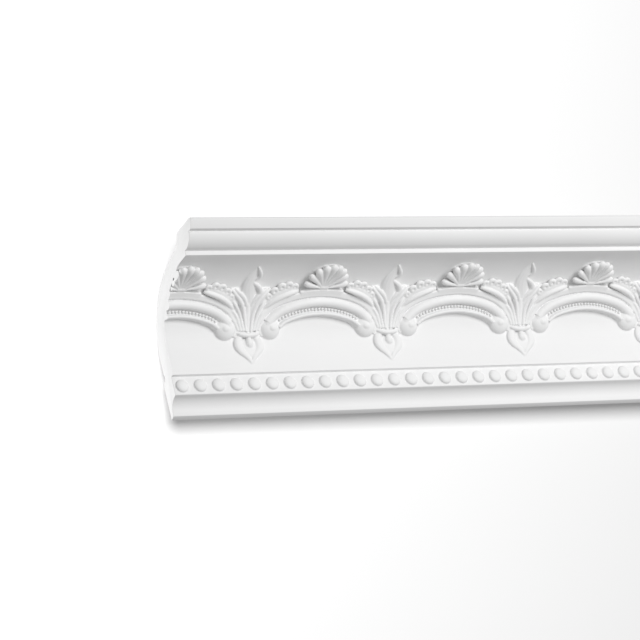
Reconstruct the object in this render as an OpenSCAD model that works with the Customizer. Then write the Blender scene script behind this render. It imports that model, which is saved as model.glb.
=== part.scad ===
// A cast cornice length: a hollow-backed cove between wall and ceiling, with a
// moulded edge above, a row of beads below, and arches, shells and leaves on the cove.
// X runs along the length, the wall is the plane Y = 0 with the room towards -Y,
// and Z is up. The origin is the middle of the face that is fixed to the wall.

/* [Length] */
// Length of one repeat of the ornament, from shell to shell
repeat = 166.67; // [120:0.01:240]
// Number of repeats in the length
repeats = 6; // [1:1:8]
// Distance from the left end to the middle of the first shell
first_shell = 10.8; // [0:0.1:60]
// Distance from the left end to the middle of the first bead
first_bead = 9.6; // [9:0.1:20]

/* [Section] */
// Height on the wall, from the bottom edge to the ceiling
height = 163; // [130:0.5:210]
// Projection over the ceiling, from the wall to the front edge
projection = 141; // [112:0.5:180]
// Height of the face that is fixed to the wall
seat_height = 39; // [25:0.5:50]
// Width of the face that is fixed to the ceiling
ceiling_seat = 30; // [20:0.5:40]
// Thickness of the cast wall at the foot of the cove
wall = 20; // [12:0.5:24]
// Thickness of the cast wall at the top of the cove
crown_wall = 16; // [8:0.5:20]

/* [Base moulding] */
// Depth of the narrow underside at the wall
base_depth = 6; // [3:0.5:9]
// Radius of the hollow above the underside
hollow_radius = 14.3; // [8:0.1:15]
// Depth of the bead band from the wall
band_depth = 21; // [18:0.5:24]
// Height of the bead band's lower edge above the bottom
band_foot = 19.2; // [17:0.1:22]
// Height of the bead band
band_height = 20.2; // [16:0.1:22]
// Radius of a bead
bead_radius = 8.4; // [6:0.1:9]
// Depth that a bead's middle lies below the band's face
bead_sink = 4.4; // [0:0.1:6]
// Distance of the beads below the middle of the band
bead_drop = 0.7; // [0:0.1:1.5]
// Beads in one repeat
beads = 8; // [4:1:8]
// Step from the bead band out to the cove
cove_step = 4; // [2:0.5:6]

/* [Crown moulding] */
// Height of the sloping front edge
fascia_height = 12.1; // [8:0.1:16]
// Distance that the front edge leans back on the way down
fascia_lean = 5.8; // [0:0.1:8]
// Radius of the top front corner
corner_radius = 3; // [1:0.5:5]
// Width of the groove under the front edge
quirk_width = 1.8; // [1.5:0.1:3]
// Depth of the groove behind the front edge
quirk_depth = 4.4; // [2:0.1:6]
// Height of the rounded moulding under the groove
ovolo_height = 11.5; // [8:0.5:16]
// Depth of the rounded moulding
ovolo_depth = 13; // [8:0.5:16]
// Radius of the rounded moulding
ovolo_radius = 20; // [14:0.5:26]
// Height of the fillet under the rounded moulding
fillet_height = 5; // [3:0.5:7]
// Set-back of the fillet behind the rounded moulding
fillet_back = 5.4; // [3:0.1:8]

/* [Ornament] */
// Height of an arch's lower rim above the cove
rim_height = 8; // [4:0.5:10]
// Height of an arch's back above the cove
back_height = 5; // [3:0.5:8]
// Half of an arch's span, to the middle of its scroll
arch_span = 57.5; // [40:0.5:60]
// Height of the arch's middle line on the cove, at the crown
arch_crown = 76; // [70:0.5:84]
// Drop of the middle line from the crown to the scrolls
arch_drop = 22; // [12:0.5:26]
// Width of the arch's moulded band at the crown
arch_band = 32; // [24:0.5:36]
// Radius of the round scrolls at the arch's ends
scroll_radius = 12.6; // [8:0.1:14]
// Depth that the middle of a scroll lies below the cove's face
scroll_sink = 4.4; // [0:0.1:6]
// Height of a shell's base on the cove, above the cove's foot
shell_base = 94; // [90:0.5:98]
// Number of flutes of a shell
flutes = 9; // [5:2:11]
// Reach of a shell to each side
shell_reach = 25; // [15:0.5:30]
// Reach of a shell up the cove
shell_rise = 35; // [25:0.5:38]
// Height of a shell's rim above the cove
shell_height = 6; // [3:0.5:9]
// Depth of the grooves between the flutes
flute_depth = 2; // [0.5:0.1:3]
// Lobes of the leaf on each side of a shell
leaf_lobes = 4; // [3:1:5]
// Height of the leaves above the cove
leaf_height = 5; // [2:0.5:7]
// Half of the width of the collar that gathers the leaves
collar_reach = 12.5; // [8:0.5:16]
// Height of the collar on the cove, above the cove's foot
collar_level = 45; // [38:0.5:52]
// Rise of the flame above the collar
flame_rise = 77; // [50:1:85]
// Length of the drop below the collar
drop_length = 34; // [24:1:36]

/* [Hidden] */
length = repeat * repeats;
ground = 0.2;                     // the plain field of the ornament, above the cove's own face
root = 1.5;                       // how far the ornament's edges reach into the cove's wall
shell_spread = 88;                // the turn of a shell's last flute from the upright
drawn_repeat = 166.67;            // the repeat and the cove that the ornament is drawn for
drawn_cove = 149.4;

// The cove: a short upright foot, a quarter of an ellipse, and a flat run to the fillet
cove_depth = band_depth + cove_step;
cove_bottom = band_foot + band_height + 0.5;
fillet_front = projection - fascia_lean - quirk_depth - ovolo_depth - fillet_back;
cove_top = height - fascia_height - quirk_width - ovolo_height - fillet_height;
cove_foot = 24 * (cove_top - cove_bottom) / 92.7;
cove_flat = 12.5 * (fillet_front - cove_depth) / 88;
cove_run = fillet_front - cove_flat - cove_depth;
cove_rise = cove_top - cove_bottom - cove_foot;
cove_middle = (cove_run + cove_rise) / 2;
cove_length = cove_foot + cove_middle * PI / 2 + cove_flat;

function arc(centre, radii, from, to, steps) =
    [for (i = [0:steps]) let (a = from + (to - from) * i / steps)
        centre + [radii.x * cos(a), radii.y * sin(a)]];

// An arc of the radius given, bulging to the right of the way from one point to the other
function bow(from, to, radius, steps) =
    let (chord = to - from, half = norm(chord) / 2,
         away = sqrt(max(radius * radius - half * half, 0)),
         centre = (from + to) / 2 + away * [-chord.y, chord.x] / (2 * half),
         turn = 2 * asin(min(half / radius, 1)),
         start = atan2(from.y - centre.y, from.x - centre.x))
    arc(centre, [radius, radius], start, start + turn, steps);

// Section as [distance from the wall, height above the bottom edge]
function base_points() = concat(
    [[0, 0], [base_depth, 1.8]],
    arc([base_depth + 0.7 + hollow_radius, 4.3], [-hollow_radius, hollow_radius], 0, 84, 8),
    [[band_depth, band_foot], [band_depth, band_foot + band_height],
     [cove_depth, cove_bottom]]);

function cove_points() =
    arc([cove_depth + cove_run, cove_bottom + cove_foot], [-cove_run, cove_rise], 0, 90, 24);

function crown_points() =
    let (ovolo_foot = [fillet_front + fillet_back, cove_top + fillet_height],
         ovolo_top = ovolo_foot + [ovolo_depth, ovolo_height],
         edge_foot = [projection - fascia_lean, height - fascia_height],
         corner = corner_radius)
    concat(
        [[fillet_front, cove_top], [fillet_front, cove_top + fillet_height]],
        bow(ovolo_foot, ovolo_top, ovolo_radius, 8),
        [ovolo_top + [-1, 0.6], [ovolo_top.x - 1, edge_foot.y], edge_foot,
         [projection, height - 1.2 * corner], [projection - 0.5 * corner, height - 0.4 * corner],
         [projection - 2 * corner, height]]);

function back_points() =
    let (seat_back = projection - corner_radius * 2 - ceiling_seat,
         hollow_top = cove_top + crown_wall,
         hollow_end = seat_back - 8,
         hollow_depth = cove_depth - wall,
         spring = cove_bottom + cove_foot + 2)
    concat(
        [[seat_back, height]],
        arc([hollow_end, spring], [-(hollow_end - hollow_depth), hollow_top - spring], 90, 0, 20),
        [[hollow_depth, seat_height + 12], [hollow_depth + 1.5, seat_height + 7],
         [hollow_depth, seat_height + 3.5], [2, seat_height + 1.5], [0, seat_height]]);

function section() =
    [for (p = concat(base_points(), cove_points(), crown_points(), back_points()))
        [-p.x, p.y - seat_height / 2]];

// A point of the ornament: along the length, up the cove, and out from its face
function on_cove(along, up, out) =
    let (t = up * cove_length / drawn_cove,
         a = min(max(t - cove_foot, 0) / cove_middle * 180 / PI, 90),
         flat = max(t - cove_foot - cove_middle * PI / 2, 0),
         lift = min(t - cove_foot, 0),
         normal = [cove_rise * cos(a), -cove_run * sin(a)],
         n = out * normal / norm(normal),
         depth = cove_depth + cove_run * (1 - cos(a)) + flat + n.x,
         level = cove_bottom + cove_foot + lift + cove_rise * sin(a) + n.y)
    [along, -depth, level - seat_height / 2];

// A soft bump, 1 in the middle and 0 from one reach away
function bump(x) = abs(x) < 1 ? sqrt(1 - x * x) : 0;

// The ornament is drawn with the shell at s = 0 and the collar at s = drawn_repeat / 2.
// The middle line of the arch, level between one arch and the next
function arch_line(s) =
    arch_crown - arch_drop * pow(min(abs(s) / arch_span, 1), 2.2);

function arch_half(s) = arch_band / 2 * (1 - 0.25 * pow(min(abs(s) / arch_span, 1), 2));

// The band of an arch: rim, channel, groove, round, groove and outer band
function arch_height_at(s, t) =
    let (share = (t - arch_line(s)) / arch_half(s))
    abs(s) > arch_span ? 0 :
    lookup(share, [[-1.1, 0], [-0.94, rim_height], [-0.75, rim_height], [-0.6, rim_height - 1.6],
                   [-0.3, rim_height - 1.6], [-0.15, rim_height], [0.15, rim_height + 0.6],
                   [0.4, back_height - 0.4], [0.55, back_height], [0.92, back_height - 0.6], [1.1, 0]]);

// The round scroll at each end of an arch
function scroll_at(s, t) =
    let (d = norm([abs(s) - arch_span, t - arch_line(arch_span) + 5.5]),
         rise = scroll_radius * scroll_radius - d * d)
    rise > 0 ? max(sqrt(rise) - scroll_sink, 0) : 0;

// The fan of a shell, with a rounded ridge for each flute
function shell_at(s, t) =
    let (p = [s / shell_reach, (t - shell_base) / shell_rise], share = norm(p),
         turn = atan2(p.x, p.y), flute = abs(turn) / shell_spread * flutes / 2)
    share > 1 || abs(turn) > shell_spread ? 0 :
    shell_height * pow(bump(pow(share, 3)), 0.5) - flute_depth * share * pow(sin(180 * flute), 2);

// The lobed leaf on the back of an arch, beside the shell
function leaf_at(s, t) =
    let (out = abs(s), back = arch_line(s) + arch_half(s) - 2,
         share = (out - shell_reach) / (arch_span - shell_reach),
         reach = 17 - 5 * share + 2 * cos(360 * leaf_lobes * share))
    share < 0 || share > 1 || t < back || t > back + reach ? 0 :
    leaf_height * pow(bump((t - back) / reach), 0.5) * (0.8 - 0.2 * cos(360 * leaf_lobes * share + 180));

// The collar, the blades that it gathers, the flame above it and the drop below.
// Here s is measured from the middle of the collar.
function collar_at(s, t) =
    let (x = abs(s), up = t - collar_level,
         bar = x < collar_reach ? (leaf_height + 0.5) * bump((up - 1.5 * pow(x / collar_reach, 2)) / 3.4) : 0,
         spread = 8 + 0.6 * up,
         blades = up > 0 && up < 38 && x < spread
             ? leaf_height * (0.78 + 0.22 * cos(360 * 2.5 * x / spread)) * pow(bump(x / spread), 0.4) : 0,
         flame_side = s - 3 * sin(max(up, 0) * 4) - up / 26,
         flame = up > 0 && up < flame_rise
             ? leaf_height * 1.2 * bump(flame_side / (9.5 * pow(sin(90 + 88 * up / flame_rise), 0.6))) : 0,
         drop = -up / drop_length,
         petal = drop > 0.08 && drop < 1
             ? leaf_height * 0.7 * pow(bump(x / (17 * pow(sin(180 * pow(drop, 0.55)), 0.8) + 1)), 0.7) : 0,
         boss = leaf_height * bump(norm([s, up + 12]) / 5))
    max(bar, blades, flame, petal, boss);

// Height of the whole ornament above the cove; s may be any distance from a shell
function relief(s, t) =
    let (x = s - drawn_repeat * round(s / drawn_repeat),
         y = x < 0 ? x + drawn_repeat / 2 : x - drawn_repeat / 2)
    max(ground, arch_height_at(x, t), scroll_at(x, t), shell_at(x, t), leaf_at(x, t), collar_at(y, t));

// Levels of the ornament's rows at one place: plain below, along the arch, over the shell
function rows_at(s) =
    let (x = s - drawn_repeat * round(s / drawn_repeat), a = arch_line(x), h = arch_half(x),
         low = a - 1.12 * h, high = a + 1.12 * h,
         bottom = collar_level - drop_length - 2, top = shell_base + shell_rise + 1.5)
    concat(
        [bottom - 2.5, bottom],
        [for (k = [0.2, 0.4, 0.6, 0.8]) bottom + (low - bottom) * k],
        [low], [for (k = [-0.94, -0.72, -0.3, 0, 0.4, 0.9]) a + k * h], [high],
        [for (k = [0.2, 0.4, 0.6, 0.8, 0.95]) high + (top - high) * k],
        [top, top + 2.5]);

// Places of the columns in one repeat, closer together over the shell
function columns() =
    let (edge = shell_reach + 3, rest = drawn_repeat - 2 * edge)
    concat([for (i = [0:17]) -edge + 2 * edge * i / 18],
           [for (i = [0:17]) edge + rest * i / 18]);

// The ornament as one closed sheet that is rooted in the wall of the cove
module ornament() {
    scale_along = repeat / drawn_repeat;
    start = -first_shell / scale_along;
    finish = start + drawn_repeat * repeats;
    places = concat([start],
        [for (i = [-1:repeats]) for (c = columns()) let (s = i * drawn_repeat + c)
            if (s > start + 0.8 && s < finish - 0.8) s],
        [finish]);
    last = len(places) - 1;
    count = len(rows_at(0));
    front = [for (s = places) for (j = [0:count - 1]) let (t = rows_at(s)[j])
        on_cove((s - start) * scale_along - length / 2, t,
                j == 0 || j == count - 1 ? -root : relief(s, t))];
    back = [for (s = [start, finish]) for (t = rows_at(s))
        on_cove((s - start) * scale_along - length / 2, t, -2 * root)];
    b0 = len(front);
    b1 = b0 + count;
    color("whitesmoke")
    polyhedron(concat(front, back), concat(
        [for (i = [0:last - 1]) for (j = [0:count - 2]) let (p = i * count + j)
            each [[p, p + 1, p + count + 1], [p, p + count + 1, p + count]]],
        [for (j = [0:count - 2]) [b0 + j, b1 + j, b1 + j + 1, b0 + j + 1]],
        [for (j = [0:count - 2]) [b0 + j, b0 + j + 1, j + 1, j]],
        [for (j = [0:count - 2]) let (p = last * count + j) [b1 + j, p, p + 1, b1 + j + 1]],
        [concat([b1, b0], [for (i = [0:last]) i * count])],
        [concat([b0 + count - 1, b1 + count - 1], [for (i = [last:-1:0]) i * count + count - 1])]));
}

module body() {
    color("whitesmoke")
    translate([-length / 2, 0, 0])
        rotate([90, 0, 90])
            linear_extrude(height = length)
                polygon(section());
}

module bead_row() {
    color("whitesmoke")
    for (i = [0:beads * repeats - 1])
        translate([-length / 2 + first_bead + i * repeat / beads,
                   bead_sink - band_depth,
                   band_foot + band_height / 2 - bead_drop - seat_height / 2])
            sphere(r = bead_radius);
}

// Cast in one piece
module cornice() {
    union() {
        body();
        bead_row();
        ornament();
    }
}

cornice();
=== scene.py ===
import math

import bpy
import numpy as np
from mathutils import Matrix, Vector


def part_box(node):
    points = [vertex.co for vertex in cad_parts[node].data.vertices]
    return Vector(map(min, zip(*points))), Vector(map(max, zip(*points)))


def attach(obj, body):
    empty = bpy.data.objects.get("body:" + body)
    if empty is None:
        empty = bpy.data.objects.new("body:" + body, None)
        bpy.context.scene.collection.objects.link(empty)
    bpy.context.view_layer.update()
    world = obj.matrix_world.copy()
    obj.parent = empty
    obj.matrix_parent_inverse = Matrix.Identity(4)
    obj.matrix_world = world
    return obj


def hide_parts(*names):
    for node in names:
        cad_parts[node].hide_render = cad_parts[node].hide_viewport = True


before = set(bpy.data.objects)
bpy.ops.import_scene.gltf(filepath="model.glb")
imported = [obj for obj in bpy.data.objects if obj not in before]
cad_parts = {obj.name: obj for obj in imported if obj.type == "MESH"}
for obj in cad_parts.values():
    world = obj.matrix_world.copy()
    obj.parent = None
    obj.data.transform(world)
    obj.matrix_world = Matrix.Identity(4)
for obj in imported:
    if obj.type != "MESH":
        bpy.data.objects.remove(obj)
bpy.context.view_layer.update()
low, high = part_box("cornice")
mm = 0.001


def deselect():
    if bpy.context.object and bpy.context.object.mode != "OBJECT":
        bpy.ops.object.mode_set(mode="OBJECT")
    bpy.ops.object.select_all(action="DESELECT")


def joined(group, name):
    deselect()
    for member in group:
        member.select_set(True)
    bpy.context.view_layer.objects.active = group[0]
    bpy.ops.object.join()
    bpy.context.object.name = name
    return bpy.context.object


def moved_copy(source, shift):
    """A copy with its own mesh, which is moved by the shift."""
    copy = source.copy()
    copy.data = source.data.copy()
    copy.data.transform(Matrix.Translation(shift))
    bpy.context.collection.objects.link(copy)
    return copy


# ---------------------------------------------------------------------------
# The cast body: one run of white rigid foam, poured in a long mould. Its section
# is drawn once and pushed out along the length, hollow behind and sawn square at
# both ends.

left_end, right_end = low[0], high[0]
run_length = right_end - left_end
wall_plane, front_edge = high[1], low[1]
bottom, ceiling = low[2], high[2]

seat_height = 39 * mm            # face that is glued to the wall
base_depth = 6 * mm              # narrow underside
base_edge = 1.8 * mm             # upright edge in front of the underside
hollow_radius = 14.3 * mm
hollow_setback, hollow_level = 0.7 * mm, 4.3 * mm        # where the hollow starts, over the base's edge
hollow_turn = 84                 # degrees that it turns through
band_depth = 21 * mm             # bead band, from the wall
band_foot = 19.2 * mm
band_height = 20.2 * mm
band_edge = 0.5 * mm             # from the band's top to the cove
cove_step = 4 * mm
foot_share, flat_share = 24 / 92.7, 12.5 / 88            # the cove's straight ends, of its height and depth
fascia_height, fascia_lean = 12.1 * mm, 5.8 * mm
quirk_width, quirk_depth = 1.8 * mm, 4.4 * mm
quirk_inset, quirk_lip = 1 * mm, 0.6 * mm                # bottom of the quirk, behind the ovolo's edge
ovolo_height, ovolo_depth, ovolo_radius = 11.5 * mm, 13 * mm, 20 * mm
fillet_height, fillet_back = 5 * mm, 5.4 * mm
corner_radius = 3 * mm
ceiling_seat = 30 * mm
seat_shoulder = 8 * mm           # from the ceiling seat to the top of the hollow back
cast_wall, crown_wall = 20 * mm, 16 * mm
soft_edge = 0.5 * mm

projection = wall_plane - front_edge
height = ceiling - bottom
cove_depth = band_depth + cove_step
cove_bottom = band_foot + band_height + band_edge
fillet_front = projection - fascia_lean - quirk_depth - ovolo_depth - fillet_back
cove_top = height - fascia_height - quirk_width - ovolo_height - fillet_height
cove_foot = foot_share * (cove_top - cove_bottom)
cove_flat = flat_share * (fillet_front - cove_depth)
cove_run = fillet_front - cove_flat - cove_depth
cove_rise = cove_top - cove_bottom - cove_foot
cove_middle = (cove_run + cove_rise) / 2
cove_length = cove_foot + cove_middle * math.pi / 2 + cove_flat


def start_outline(depth, level):
    """A single point on the section, at a distance from the wall and a height above the bottom."""
    deselect()
    bpy.ops.mesh.primitive_plane_add(size=mm, location=(left_end, wall_plane - depth, bottom + level))
    bpy.ops.object.transform_apply(location=True)
    bpy.ops.object.mode_set(mode="EDIT")
    bpy.ops.mesh.merge(type="CENTER")
    return [depth, level]


def line_to(pen, depth, level):
    bpy.ops.mesh.extrude_region_move(
        TRANSFORM_OT_translate={"value": (0, pen[0] - depth, level - pen[1])})
    pen[:] = [depth, level]


def arc_to(pen, centre, radii, start, end, steps):
    for step in range(1, steps + 1):
        turn = math.radians(start + (end - start) * step / steps)
        line_to(pen, centre[0] + radii[0] * math.cos(turn), centre[1] + radii[1] * math.sin(turn))


def bow_to(pen, depth, level, radius, steps):
    """An arc of the radius given, that bulges away from the wall and the ceiling."""
    here, there = Vector(pen), Vector((depth, level))
    chord = there - here
    middle = (here + there) / 2 + Vector((-chord.y, chord.x)).normalized() * math.sqrt(
        radius ** 2 - (chord.length / 2) ** 2)
    turn = math.degrees(2 * math.asin(chord.length / 2 / radius))
    begin = math.degrees(math.atan2(here.y - middle.y, here.x - middle.x))
    arc_to(pen, middle, (radius, radius), begin, begin + turn, steps)


def close_outline(name, length):
    """Fills the outline and pushes it out along the length."""
    bpy.ops.mesh.select_all(action="SELECT")
    bpy.ops.mesh.remove_doubles(threshold=0.01 * mm)
    bpy.ops.mesh.edge_face_add()
    bpy.ops.mesh.extrude_region_move(TRANSFORM_OT_translate={"value": (length, 0, 0)})
    bpy.ops.mesh.select_all(action="SELECT")
    bpy.ops.mesh.normals_make_consistent(inside=False)
    bpy.ops.object.mode_set(mode="OBJECT")
    bpy.context.object.name = name
    return bpy.context.object


# From the wall's foot forward: the underside, the hollow, the bead band and the cove, which lies
# a little behind the ornament's field and meets it just short of the fillet
relief_bed = 1 * mm
fillet_lap = 1.5 * mm
bed_end, lap_end = fillet_front - fillet_lap - 1 * mm, fillet_front - fillet_lap - 0.6 * mm
fillet_foot = cove_top - 0.03 * mm
pen = start_outline(0, 0)
line_to(pen, base_depth, base_edge)
arc_to(pen, (base_depth + hollow_setback + hollow_radius, hollow_level),
       (-hollow_radius, hollow_radius), 0, hollow_turn, 14)
line_to(pen, band_depth, band_foot)
line_to(pen, band_depth, band_foot + band_height)
line_to(pen, cove_depth - relief_bed, cove_bottom)
arc_to(pen, (cove_depth + cove_run, cove_bottom + cove_foot),
       (-cove_run - relief_bed, cove_rise + relief_bed), 0, 90, 40)
line_to(pen, bed_end, cove_top + relief_bed)
line_to(pen, lap_end, fillet_foot)

# The fillet, ovolo, quirk and sloping fascia, a soft corner, and the seat under the ceiling
line_to(pen, fillet_front, fillet_foot)
line_to(pen, fillet_front, cove_top + fillet_height)
line_to(pen, fillet_front + fillet_back, cove_top + fillet_height)
ovolo_top = (fillet_front + fillet_back + ovolo_depth, cove_top + fillet_height + ovolo_height)
bow_to(pen, *ovolo_top, ovolo_radius, 14)
line_to(pen, ovolo_top[0] - quirk_inset, ovolo_top[1] + quirk_lip)
line_to(pen, ovolo_top[0] - quirk_inset, height - fascia_height)
line_to(pen, projection - fascia_lean, height - fascia_height)
for inward, down in ((0, 1.2), (0.5, 0.4), (2, 0)):
    line_to(pen, projection - inward * corner_radius, height - down * corner_radius)
ceiling_back = projection - 2 * corner_radius - ceiling_seat
line_to(pen, ceiling_back, height)

# The hollow back, down to a shallow step above the wall seat
spring = cove_bottom + cove_foot + 2 * mm
hollow_end, hollow_depth = ceiling_back - seat_shoulder, cove_depth - cast_wall
arc_to(pen, (hollow_end, spring),
       (hollow_depth - hollow_end, cove_top + crown_wall - spring), 90, 0, 36)
step_edge = ((hollow_depth, 12 * mm), (hollow_depth + 1.5 * mm, 7 * mm), (hollow_depth, 3.5 * mm),
             (2 * mm, 1.5 * mm), (0, 0))                 # from the wall, and above the seat
for depth, above_seat in step_edge:
    line_to(pen, depth, seat_height + above_seat)
line_to(pen, 0, 0)
cast_body = close_outline("cast_body", run_length)
bevel = cast_body.modifiers.new("soft edges", "BEVEL")
bevel.width = soft_edge
bevel.segments = 3
bevel.angle_limit = math.radians(28)
bpy.ops.object.modifier_apply(modifier=bevel.name)
bpy.ops.object.shade_smooth_by_angle(angle=math.radians(30))


def cast_material():
    """White primer over the casting: matt, with the faintest mottle and a fine orange-peel skin."""
    material = bpy.data.materials.new("white_primed_casting")
    material.use_nodes = True
    nodes, links = material.node_tree.nodes, material.node_tree.links
    shader = nodes["Principled BSDF"]
    shader.inputs["Specular IOR Level"].default_value = 0.35
    place = nodes.new("ShaderNodeTexCoord")
    clouds = nodes.new("ShaderNodeTexNoise")
    clouds.inputs["Scale"].default_value = 9
    clouds.inputs["Detail"].default_value = 3
    links.new(place.outputs["Object"], clouds.inputs["Vector"])
    whites = nodes.new("ShaderNodeValToRGB")
    for stop, position, white in zip(whites.color_ramp.elements, (0.3, 0.7), (0.86, 0.885)):
        stop.position, stop.color = position, (white, white, white, 1)
    links.new(clouds.outputs["Fac"], whites.inputs["Fac"])
    links.new(whites.outputs["Color"], shader.inputs["Base Color"])
    dullness = nodes.new("ShaderNodeMapRange")
    dullness.inputs["To Min"].default_value, dullness.inputs["To Max"].default_value = 0.5, 0.64
    links.new(clouds.outputs["Fac"], dullness.inputs["Value"])
    links.new(dullness.outputs["Result"], shader.inputs["Roughness"])
    peel = nodes.new("ShaderNodeTexNoise")
    peel.inputs["Scale"].default_value = 900
    peel.inputs["Detail"].default_value = 2
    links.new(place.outputs["Object"], peel.inputs["Vector"])
    bump = nodes.new("ShaderNodeBump")
    bump.inputs["Strength"].default_value = 0.25
    bump.inputs["Distance"].default_value = 0.05 * mm
    links.new(peel.outputs["Fac"], bump.inputs["Height"])
    links.new(bump.outputs["Normal"], shader.inputs["Normal"])
    return material


casting = cast_material()
cast_body.data.materials.append(casting)
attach(cast_body, "root")
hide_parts("cornice")

# ---------------------------------------------------------------------------
# The bead row: flat-faced beads, cast with the band they stand on, eight to one
# repeat of the ornament.

repeats, beads_per_repeat = 6, 8
repeat = run_length / repeats
first_bead = 9.6 * mm            # from the left end
bead_width, bead_height = 14.4 * mm, 3.9 * mm
bead_drop = 0.7 * mm             # below the middle of the band
face_power, side_power = 0.85, 0.8                       # under 1 flattens the face and steepens the side
bead_foot = ((0.35, 0.12), (0.8, -0.1), (1.2, -0.6))     # mm past the edge, and above the band


def turned_bead():
    """Half an outline of a flat-faced bead with a small hollow at its foot, spun about the bead's axis."""
    deselect()
    bpy.ops.mesh.primitive_plane_add(size=mm, location=(0, 0, bead_height))
    bpy.ops.object.transform_apply(location=True)
    bpy.ops.object.mode_set(mode="EDIT")
    bpy.ops.mesh.merge(type="CENTER")
    here = Vector((0, 0, bead_height))
    edge, last_turn, steps = bead_width / 2, 85, 10
    stops = []
    for step in range(1, steps + 1):
        turn = math.radians(last_turn * step / steps)
        stops.append((edge * math.sin(turn) ** face_power, bead_height * math.cos(turn) ** side_power))
    stops += [(edge + past * mm, above * mm) for past, above in bead_foot]
    for x, z in stops:
        bpy.ops.mesh.extrude_region_move(
            TRANSFORM_OT_translate={"value": (x - here.x, 0, z - here.z)})
        here = Vector((x, 0, z))
    bpy.ops.mesh.select_all(action="SELECT")
    bpy.ops.mesh.spin(steps=32, angle=math.tau, center=(0, 0, 0), axis=(0, 0, 1))
    bpy.ops.mesh.select_all(action="SELECT")
    bpy.ops.mesh.remove_doubles(threshold=0.01 * mm)
    bpy.ops.mesh.fill_holes(sides=0)                     # closes the foot, inside the band
    bpy.ops.mesh.normals_make_consistent(inside=False)
    bpy.ops.object.mode_set(mode="OBJECT")
    bead = bpy.context.object
    bead.rotation_euler = (math.pi / 2, 0, 0)
    bpy.ops.object.transform_apply(rotation=True)
    return bead


bead = turned_bead()
bead_level = bottom + band_foot + band_height / 2 - bead_drop
bead_centre = Vector((left_end + first_bead, wall_plane - band_depth, bead_level))
copies = [moved_copy(bead, bead_centre + Vector((number * repeat / beads_per_repeat, 0, 0)))
          for number in range(repeats * beads_per_repeat)]
bpy.data.objects.remove(bead)
bead_row = joined(copies, "bead_row")
bpy.ops.object.shade_smooth()
bead_row.data.materials.append(casting)
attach(bead_row, "root")
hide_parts("cornice")

# ---------------------------------------------------------------------------
# The ornament of one repeat, modelled flat as on a carver's board: s runs along
# the length from the middle of an arch, t up the cove, and n out from its face.
# It is pressed into one skin, softened as a casting is, and laid on the cove.

first_shell = 10.8               # from the left end to the middle of the first shell, in mm like all below
drawn_repeat = 166.67            # the repeat that the ornament is drawn for
collar = drawn_repeat / 2
field_back = 2                   # thickness of the sheet below its field
root = -1.5                      # strokes are rooted this deep in the field
fine_cells, quick_cells = 300, 150                       # whole numbers in a repeat, so that neighbours meet
voxel = repeat / fine_cells
strokes = []


def rib(points, flat=0.85):
    """A tapering round ridge through [s, t, n, radius]; flat squashes its height."""
    deselect()
    bpy.ops.curve.primitive_nurbs_path_add()
    curve = bpy.context.object
    curve.data.splines.clear()
    spline = curve.data.splines.new("NURBS")
    spline.points.add(len(points) - 1)
    for point, (s, t, n, radius) in zip(spline.points, points):
        point.co = (s * mm, t * mm, n * mm / flat, 1)
        point.radius = radius
    spline.order_u = min(4, len(points))
    spline.use_endpoint_u = True
    spline.resolution_u = 5
    curve.data.bevel_depth = mm
    curve.data.bevel_resolution = 4
    curve.data.use_fill_caps = True
    bpy.ops.object.convert(target="MESH")
    bpy.context.object.scale = (1, 1, flat)
    bpy.ops.object.transform_apply(scale=True)
    strokes.append(bpy.context.object)


def dome(s, t, n, radii):
    """An ellipsoid whose middle is at [s, t, n]."""
    deselect()
    bpy.ops.mesh.primitive_uv_sphere_add(
        segments=32, ring_count=16, radius=mm, location=(s * mm, t * mm, n * mm))
    bpy.context.object.scale = radii
    bpy.ops.object.transform_apply(location=True, scale=True)
    strokes.append(bpy.context.object)


def from_axis(axis, points, side=1):
    """Points whose s counts from an axis, to one side of it."""
    return [(axis + side * s, t, n, radius) for s, t, n, radius in points]


def pair(axis, points, flat=0.85):
    """The same rib on both sides of an axis."""
    for side in (-1, 1):
        rib(from_axis(axis, points, side), flat)


# The arch is swung from three centres, as a plasterer's running mould would be
arch_centre = -36.8              # level of the middle centre
end_pull = 69                    # how much tighter the ends are
crown_turn = math.radians(22)    # reach of the middle arc to each side
crown_lift = 1.8                 # rise of the crown above the middle arc
lift_fade = 1.7                  # how fast that rise dies away to the sides


def arch_point(radius, turn):
    """A place on the arch line of that radius, turned from the crown."""
    side, turn = math.copysign(1, turn), abs(turn)
    level = arch_centre + crown_lift * max(math.cos(lift_fade * turn), 0)
    if turn <= crown_turn:
        return side * radius * math.sin(turn), level + radius * math.cos(turn)
    return (side * (end_pull * math.sin(crown_turn) + (radius - end_pull) * math.sin(turn)),
            level + end_pull * math.cos(crown_turn) + (radius - end_pull) * math.cos(turn))


def arch_band(section, reach, steps=48):
    """Sweeps a section of [radius, n] along the arch, as far as reach degrees to each side."""
    deselect()
    bpy.ops.mesh.primitive_plane_add(size=mm)
    band = bpy.context.object
    corners = []
    for step in range(steps + 1):
        turn = math.radians(reach * (2 * step / steps - 1))
        for radius, n in section:
            s, t = arch_point(radius, turn)
            corners.append((s * mm, t * mm, n * mm))
    count = len(section)
    sides = []
    for i in range(steps):
        for j in range(count):
            near, far = i * count, (i + 1) * count
            sides.append((near + j, far + j, far + (j + 1) % count, near + (j + 1) % count))
    ends = [tuple(range(count)), tuple(range(len(corners) - 1, len(corners) - 1 - count, -1))]
    band.data.clear_geometry()
    band.data.from_pydata(corners, [], sides + ends)
    bpy.ops.object.mode_set(mode="EDIT")
    bpy.ops.mesh.select_all(action="SELECT")
    bpy.ops.mesh.normals_make_consistent(inside=False)
    bpy.ops.object.mode_set(mode="OBJECT")
    strokes.append(band)


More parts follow.
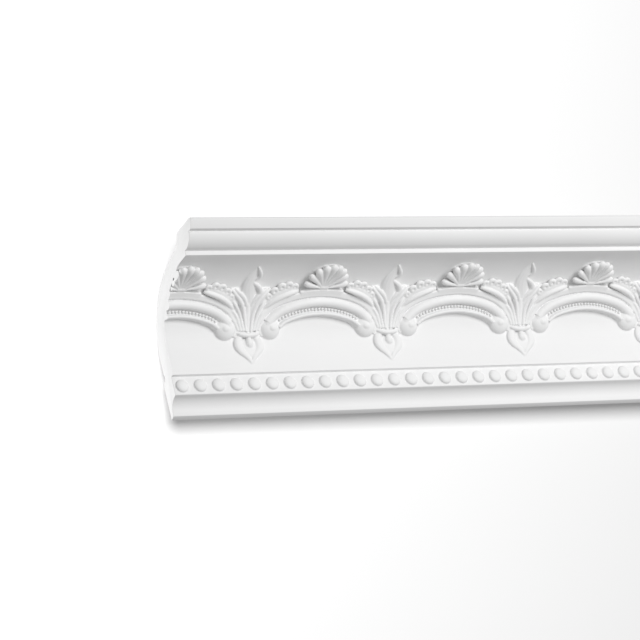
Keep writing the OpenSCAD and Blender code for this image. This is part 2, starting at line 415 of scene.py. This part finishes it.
# Sections of the arch's bands, each point with its arch line's radius and its n
rim_and_channel = [(96.6, root), (98.2, 5.4), (99.2, 7.2), (100.7, 7.8), (102.2, 7.2), (102.9, 5.0),
                   (103.6, 3.4), (108.4, 3.2), (109, root)]
round_middle, round_half, round_foot, round_rise = 113.8, 5.4, 3.6, 5.0
round_band = [(108.2, root)]
for step in range(13):
    turn = math.pi * step / 12
    round_band.append((round_middle - round_half * math.cos(turn), round_foot + round_rise * math.sin(turn)))
round_band.append((119.4, root))
outer_band = [(119, root), (119.9, 2.6), (120.8, 4.8), (122, 5.4), (126.8, 5.0), (128.2, 4.2),
              (128.9, root)]
shell_ledge = [(124.6, root), (124.6, 5.4), (129, 5.6), (130, 4.8), (130.6, root)]
arch_band(rim_and_channel, reach=44)
arch_band(round_band, reach=50)
arch_band(outer_band, reach=56)
arch_band(shell_ledge, reach=11, steps=12)
end_block = [(21.0, 91.6, 3.2, 2.3), (23.2, 91.4, 3.5, 2.5), (25.4, 91.0, 3.2, 2.3)]      # of the ledge
pair(0, end_block)

# A scroll at each end of the arch: the round runs down into a full ball with a small boss on it,
# and a lip runs round the ball's outer side
for side in (-1, 1):
    dome(side * 57.2, 49.8, 0.4, (12.2, 12.2, 8.2))
    dome(side * 56.2, 50.0, 4.8, (5.4, 5.4, 5.0))
pair(0, [(56.4, 60.0, 3.2, 4.6), (59.0, 57.4, 3.4, 5.1), (60.4, 54.4, 3.0, 5.4), (59.6, 51.0, 2.2, 5.8),
         (57.6, 49.0, 1.6, 6.0)], flat=1)
pair(0, [(70.4, 56.5, 1.8, 2.4), (71.2, 51.0, 1.8, 2.3), (70.0, 45.6, 1.6, 2.1), (66.6, 41.4, 1.0, 1.5)],
     flat=1)

# The shell: nine ribs that fan out from a small hinge and rise to the rim, over a low dish
hinge, shell_foot, shell_reach, shell_rise = 0.8, 95.5, 24.2, 34.6
shell_ribs, rib_angle, lean_right = 9, 19.2, 0.8
rib_run = ((0.10, 4.6, 0.22), (0.32, 5.2, 0.36), (0.58, 5.8, 0.58), (0.80, 6.0, 0.82), (0.94, 5.8, 0.92),
           (1.01, 4.8, 0.8), (1.05, 3.6, 0.4))           # share of the way out, n, share of the width
for number in range(shell_ribs):
    turn = math.radians(rib_angle * (number - shell_ribs // 2))
    across, up = shell_reach * math.sin(turn), shell_rise * math.cos(turn)
    wide = 3.9 + 1.2 * math.cos(turn)
    rib([(hinge + across * way + lean_right * way, shell_foot + up * way, n, wide * share)
         for way, n, share in rib_run], flat=0.9)
dome(hinge, 106, 0, (21, 21.5, 3.4))
dome(hinge, 97.3, 2.0, (5.4, 3.0, 4.2))
for number in range(-2, 3):
    rib([(hinge + 1.9 * number, 94.4, 4.2, 0.8), (hinge + 1.9 * number, 96.4, 5.8, 0.9),
         (hinge + 1.8 * number, 98.6, 5.8, 0.8)])

# The leaf on the arch's back, on each side of the shell: a rolled foot, a full body and five tips
# that curl round small eyes
pair(0, [(28.5, 93.6, 3.2, 2.0), (32.0, 93.0, 5.0, 2.9), (40.0, 90.8, 6.0, 3.2), (49.0, 86.6, 6.0, 3.2),
         (57.0, 81.0, 5.4, 3.0), (63.0, 75.2, 4.0, 2.4), (67.0, 69.5, 2.4, 1.5)], flat=1)
pair(0, [(31.0, 95.6, 2.6, 3.2), (39.0, 95.0, 3.2, 4.4), (48.0, 92.0, 3.2, 4.6), (56.0, 86.6, 3.0, 4.2),
         (62.0, 80.0, 2.2, 3.0)], flat=0.7)
curls = ((33.0, 98.0, 2.7, 2.1), (40.6, 99.8, 3.1, 2.4), (48.6, 98.0, 3.1, 2.4), (55.8, 92.8, 3.0, 2.3),
         (61.4, 86.2, 2.4, 1.9))                         # s and t of the eye, radius of the curl, thickness
round_eye = [math.radians(45 * step - 100) for step in range(9)]
for s, t, curl, thick in curls:
    pair(0, [(s + curl * math.cos(turn), t + curl * math.sin(turn), 3.4, thick) for turn in round_eye],
         flat=0.9)

# Blades that sweep down from the leaf into the collar; from here s counts from the collar's middle
of_collar = len(strokes)
blades = (
    [(18.5, 95.5, 1.6, 1.4), (14.5, 92.5, 3.8, 2.5), (9.0, 88.0, 4.4, 2.6), (4.5, 82.0, 4.2, 2.2),
     (2.5, 76.0, 3.4, 1.4)],
    [(22.5, 95.5, 1.6, 1.2), (18.0, 90.5, 4.0, 2.3), (11.0, 83.0, 4.8, 2.4), (6.2, 74.0, 5.0, 2.1),
     (4.2, 62.0, 4.8, 1.7), (2.8, 47.0, 4.4, 1.2)],
    [(20.5, 84.5, 2.2, 1.2), (17.0, 79.0, 4.6, 2.1), (12.0, 71.5, 5.0, 2.1), (8.6, 62.0, 4.8, 1.6),
     (5.8, 47.0, 4.2, 1.2)],
    [(23.0, 73.5, 2.6, 1.4), (18.5, 71.0, 4.6, 1.9), (13.6, 64.5, 4.8, 1.9), (11.2, 57.0, 4.6, 1.6),
     (8.6, 47.0, 4.0, 1.2)],
    [(24.0, 67.5, 3.2, 1.3), (19.4, 65.0, 4.4, 1.8), (15.6, 59.0, 4.4, 1.8), (11.4, 47.5, 3.6, 1.3)],
)
for blade in blades:
    pair(collar, blade, flat=0.9)

# Low swells that fill the ground behind the blades
dome(collar, 64, 0, (16, 25, 4.0))
for side in (-1, 1):
    dome(collar + side * 17, 82, 0, (9, 14, 4.2))
    dome(collar + side * 14.5, 68, 0, (7, 11, 4.4))

# The collar that gathers them
rib(from_axis(collar, [
    (-11.6, 45.0, 2.2, 1.9), (-9.6, 43.6, 3.6, 2.6), (-4, 41.9, 4.4, 2.8), (4, 41.9, 4.4, 2.8),
    (9.6, 43.6, 3.6, 2.6), (11.6, 45.0, 2.2, 1.9)]), flat=0.95)

# The drop below the collar: two full petals that meet in a point, round a hanging bud
pair(collar, [(9.0, 42.0, 0.8, 3.6), (12.2, 36.6, 1.0, 5.0), (12.9, 30.0, 1.0, 5.5), (9.6, 24.2, 1.0, 4.6),
              (5.2, 19.8, 0.9, 3.4), (1.9, 14.8, 0.7, 2.3), (0, 10.2, 0.2, 0.9)], flat=0.62)
dome(collar, 28, -0.2, (12, 12, 3.5))
rib(from_axis(collar, [
    (0, 43, 3.2, 1.8), (0, 39, 2.8, 2.4), (0.3, 35.0, 2.8, 4.5), (0.3, 31.6, 2.6, 4.8),
    (0.3, 28.8, 1.6, 3.2)]))

# The flame that rises above it: a swell, a stem of two ridges, a low leaf, and two folds along its
# right side
dome(collar + 6, 85, 0, (9, 13, 3.0))
for ridge in (-0.6, 3.6):
    rib([(collar + ridge, 46, 3.0, 1.6), (collar + ridge, 56, 3.6, 2.1), (collar + ridge + 0.4, 68, 3.6, 2.4),
         (collar + 1.5 * ridge, 78, 2.6, 2.6)], flat=0.9)
rib(from_axis(collar, [
    (2, 70, 2.0, 4.4), (1.5, 80, 1.2, 7.6), (-2.5, 92, 0.8, 9.2), (-4.0, 103, 0.6, 7.8),
    (-1.5, 114, 0.2, 5.4), (-0.5, 122, 0, 1.6)]), flat=0.46)
rib(from_axis(collar, [
    (3.5, 72, 2.6, 2.6), (9.6, 80, 3.2, 3.2), (13.0, 89, 3.2, 3.4), (9.0, 98.5, 3.2, 3.0),
    (3.5, 101.5, 3.0, 2.2), (-2.4, 105.5, 2.0, 1.0)]), flat=0.9)
rib(from_axis(collar, [
    (-0.5, 107, 1.2, 1.4), (5.0, 109, 2.6, 2.4), (6.8, 114.6, 2.8, 2.4), (2.8, 120.5, 2.2, 1.9),
    (-0.4, 124.8, 0.4, 0.8)]), flat=0.9)

# One cell: half an arch and its shell on each side of the collar, on the slab that backs them. It
# overhangs the cell by a margin, is pressed into one skin, softened, and cut to the repeat
margin = 5
to_repeat = Matrix.Scale(repeat / (drawn_repeat * mm), 4, (1, 0, 0))
arch = joined(strokes[:of_collar], "arch")
next_arch = moved_copy(arch, (drawn_repeat * mm, 0, 0))
sheet_width = cove_length - fillet_lap
deselect()
bpy.ops.mesh.primitive_cube_add(
    size=1, location=((collar - first_shell) * mm, sheet_width / 2, -field_back * mm / 2))
bpy.context.object.scale = ((drawn_repeat + 2 * margin) * mm, sheet_width, field_back * mm)
bpy.ops.object.transform_apply(location=True, scale=True)
sheet = joined([bpy.context.object, arch, next_arch, *strokes[of_collar:]], "ornament")
sheet.data.transform(to_repeat)

skin = sheet.modifiers.new("one skin", "REMESH")
skin.mode = "VOXEL"
skin.voxel_size = voxel
bpy.ops.object.modifier_apply(modifier=skin.name)
soften = sheet.modifiers.new("softened", "SMOOTH")
soften.factor, soften.iterations = 0.5, 3
bpy.ops.object.modifier_apply(modifier=soften.name)
bpy.ops.object.mode_set(mode="EDIT")
for cut, side in ((-first_shell * mm, -1), (repeat - first_shell * mm, 1)):
    bpy.ops.mesh.select_all(action="SELECT")
    bpy.ops.mesh.bisect(
        plane_co=(cut, 0, 0), plane_no=(side, 0, 0), clear_outer=True, threshold=0.001 * mm)
bpy.ops.object.mode_set(mode="OBJECT")


def lay_on_cove(mesh):
    """Bends the flat sheet over the cove: up its foot, round its quarter ellipse and along its flat top."""
    place = np.empty(len(mesh.vertices) * 3)
    mesh.vertices.foreach_get("co", place)
    s, t, n = place.reshape(-1, 3).T
    turn = np.clip((t - cove_foot) / cove_middle, 0, math.pi / 2)
    below = np.minimum(t - cove_foot, 0)
    beyond = np.maximum(t - cove_foot - cove_middle * math.pi / 2, 0)
    face = np.array([cove_rise * np.cos(turn), -cove_run * np.sin(turn)])
    face /= np.hypot(*face)
    depth = cove_depth + cove_run * (1 - np.cos(turn)) + beyond + n * face[0]
    level = cove_bottom + cove_foot + cove_rise * np.sin(turn) + below + n * face[1]
    place = np.stack([left_end + first_shell * mm + s, wall_plane - depth, bottom + level], axis=1)
    mesh.vertices.foreach_set("co", place.ravel())
    mesh.update()


# The pearls of the arch's channel, kept apart from the skin so that they stay crisp
pearls, pearl_pitch, pearl_line, pearl_radius, pearl_level = 25, 3.95, 105.8, 1.65, 4.1
string = []
for crown in (0, drawn_repeat):
    for number in range(pearls):
        along = pearl_pitch * (number - (pearls - 1) / 2)
        turn = min(abs(along) / pearl_line, crown_turn)
        turn += max(abs(along) - pearl_line * crown_turn, 0) / (pearl_line - end_pull)
        s, t = arch_point(pearl_line, math.copysign(turn, along))
        if -first_shell <= crown + s < drawn_repeat - first_shell:
            deselect()
            bpy.ops.mesh.primitive_uv_sphere_add(segments=14, ring_count=8, radius=pearl_radius * mm,
                                                 location=((crown + s) * mm, t * mm, pearl_level * mm))
            bpy.ops.object.transform_apply(location=True)
            string.append(bpy.context.object)
pearl_string = joined(string, "pearls")
pearl_string.data.transform(to_repeat)

# Both are laid on the cove. The skin is thinned before its sawn sides are closed, so that the
# sides keep their outline and neighbours meet
lay_on_cove(pearl_string.data)
lay_on_cove(sheet.data)
deselect()
sheet.select_set(True)
bpy.context.view_layer.objects.active = sheet
most_triangles = 138000
triangles = sum(len(face.vertices) - 2 for face in sheet.data.polygons)
if triangles > most_triangles:
    thin = sheet.modifiers.new("thinned", "DECIMATE")
    thin.ratio = most_triangles / triangles
    bpy.ops.object.modifier_apply(modifier=thin.name)
bpy.ops.object.mode_set(mode="EDIT")
bpy.ops.mesh.select_all(action="SELECT")
bpy.ops.mesh.fill_holes(sides=0)
bpy.ops.object.mode_set(mode="OBJECT")
sheet = joined([sheet, pearl_string], "ornament")
bpy.ops.object.shade_smooth_by_angle(angle=math.radians(60))
sheet.data.materials.append(casting)

# Six copies along the length, kept just inside the sawn ends
end_gap = 0.05 * mm
moulding = [cast_body, bead_row]
for number in range(repeats):
    piece = moved_copy(sheet, (number * repeat, 0, 0))
    piece.name = f"ornament_{number + 1}"
    for vertex in piece.data.vertices:
        vertex.co.x = min(max(vertex.co.x, left_end + end_gap), right_end - end_gap)
    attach(piece, "root")
    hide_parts("cornice")
    moulding.append(piece)
bpy.data.objects.remove(sheet)

# ---------------------------------------------------------------------------
# The camera looks up at the left end from the room, as at a cornice on its wall.

aim = Vector((left_end + 135.97 * mm, front_edge + 30.86 * mm, bottom + 57.02 * mm))
azimuth, elevation, roll = math.radians(-30.693), math.radians(-23.042), math.radians(-14.33)
distance = 3.2143
away = Vector((math.sin(azimuth) * math.cos(elevation), -math.cos(azimuth) * math.cos(elevation),
               math.sin(elevation)))
level_right = Vector((0, 0, 1)).cross(away).normalized()
level_up = away.cross(level_right)
right = level_right * math.cos(roll) + level_up * math.sin(roll)
up = away.cross(right)
camera_data = bpy.data.cameras.new("camera")
camera_data.lens, camera_data.sensor_width = 176.017, 36
camera = bpy.data.objects.new("camera", camera_data)
camera.location = aim + away * distance
camera.rotation_mode = "QUATERNION"
camera.rotation_quaternion = Matrix((right, up, away)).transposed().to_quaternion()
bpy.context.collection.objects.link(camera)
bpy.context.scene.camera = camera

# ---------------------------------------------------------------------------
# The studio: a soft key from the room and a softbox for the sawn end, which light
# the moulding alone, white all round, a pale backdrop close behind with a light of
# its own, which throws the moulding's shadow on it, and a pale floor.

fill_strength, seen_strength = 0.34, 1.0                 # the white all round, as a light and to the eye
world = bpy.data.worlds.new("studio")
bpy.context.scene.world = world
world.use_nodes = True
world_nodes, world_links = world.node_tree.nodes, world.node_tree.links
around = world_nodes["Background"]
around.inputs["Color"].default_value = (1, 1, 1, 1)
around.inputs["Strength"].default_value = fill_strength
seen = world_nodes.new("ShaderNodeBackground")
seen.inputs["Color"].default_value = (1, 1, 1, 1)
seen.inputs["Strength"].default_value = seen_strength
sight = world_nodes.new("ShaderNodeLightPath")
choice = world_nodes.new("ShaderNodeMixShader")
world_links.new(sight.outputs["Is Camera Ray"], choice.inputs["Fac"])
world_links.new(around.outputs["Background"], choice.inputs[1])
world_links.new(seen.outputs["Background"], choice.inputs[2])
world_links.new(choice.outputs["Shader"], world_nodes["World Output"].inputs["Surface"])


def softbox(name, direction, reach, size, watts, lights_only):
    """A square area light that far from the moulding's left half, in that direction from it."""
    lit = Vector((left_end / 2, front_edge / 2, (bottom + ceiling) / 2))
    light_data = bpy.data.lights.new(name, "AREA")
    light_data.shape, light_data.size, light_data.energy = "SQUARE", size, watts
    light = bpy.data.objects.new(name, light_data)
    toward = Vector(direction).normalized()
    light.location = lit + toward * reach
    light.rotation_mode = "QUATERNION"
    light.rotation_quaternion = toward.to_track_quat("Z", "Y")
    light.visible_camera = False
    bpy.context.collection.objects.link(light)
    receivers = bpy.data.collections.new(name)
    for receiver in lights_only:
        receivers.objects.link(receiver)
    light.light_linking.receiver_collection = receivers


def plain_stage(name, white, glow):
    """Pale, and see-through from behind, so that it never stands before the moulding."""
    material = bpy.data.materials.new(name)
    material.use_nodes = True
    nodes, links = material.node_tree.nodes, material.node_tree.links
    shader = nodes["Principled BSDF"]
    shader.inputs["Base Color"].default_value = (white, white, white, 1)
    shader.inputs["Roughness"].default_value = 1
    shader.inputs["Specular IOR Level"].default_value = 0
    shader.inputs["Emission Color"].default_value = (1, 1, 1, 1)
    shader.inputs["Emission Strength"].default_value = glow
    side = nodes.new("ShaderNodeNewGeometry")
    clear = nodes.new("ShaderNodeBsdfTransparent")
    turn = nodes.new("ShaderNodeMixShader")
    links.new(side.outputs["Backfacing"], turn.inputs["Fac"])
    links.new(shader.outputs["BSDF"], turn.inputs[1])
    links.new(clear.outputs["BSDF"], turn.inputs[2])
    links.new(turn.outputs["Shader"], nodes["Material Output"].inputs["Surface"])
    return material


# The backdrop leans like the back of the moulding, and stands clear of it
deselect()
lean = math.radians(26.3)
backdrop_size, backdrop_along, backdrop_gap = 3, 0.6, 26 * mm
backdrop_middle = Vector((left_end + backdrop_along, 0, 0)) + backdrop_gap * Vector(
    (0, math.cos(lean), math.sin(lean)))
bpy.ops.mesh.primitive_plane_add(
    size=backdrop_size, location=backdrop_middle, rotation=(math.pi / 2 + lean, 0, 0))
backdrop = bpy.context.object
backdrop.name = "backdrop"
backdrop.visible_shadow = backdrop.visible_diffuse = False
backdrop.data.materials.append(plain_stage("backdrop_white", white=0.6, glow=0.02))
deselect()
floor_size, floor_level = 24, -2.4
bpy.ops.mesh.primitive_plane_add(size=floor_size, location=(0, 0, floor_level))
floor = bpy.context.object
floor.name = "floor"
floor.data.materials.append(plain_stage("floor_white", white=0.9, glow=0.2))
floor.visible_diffuse = False

softbox("key", (0.26, -0.96, -0.07), reach=3.0, size=1.5, watts=64, lights_only=moulding)
softbox("end_light", (-0.8, 0.6, 0.05), reach=2.2, size=0.7, watts=32, lights_only=moulding)
softbox("backdrop_light", away + 0.26 * up, reach=3.0, size=1.3, watts=156, lights_only=[backdrop])

bpy.context.scene.view_settings.view_transform = "Standard"
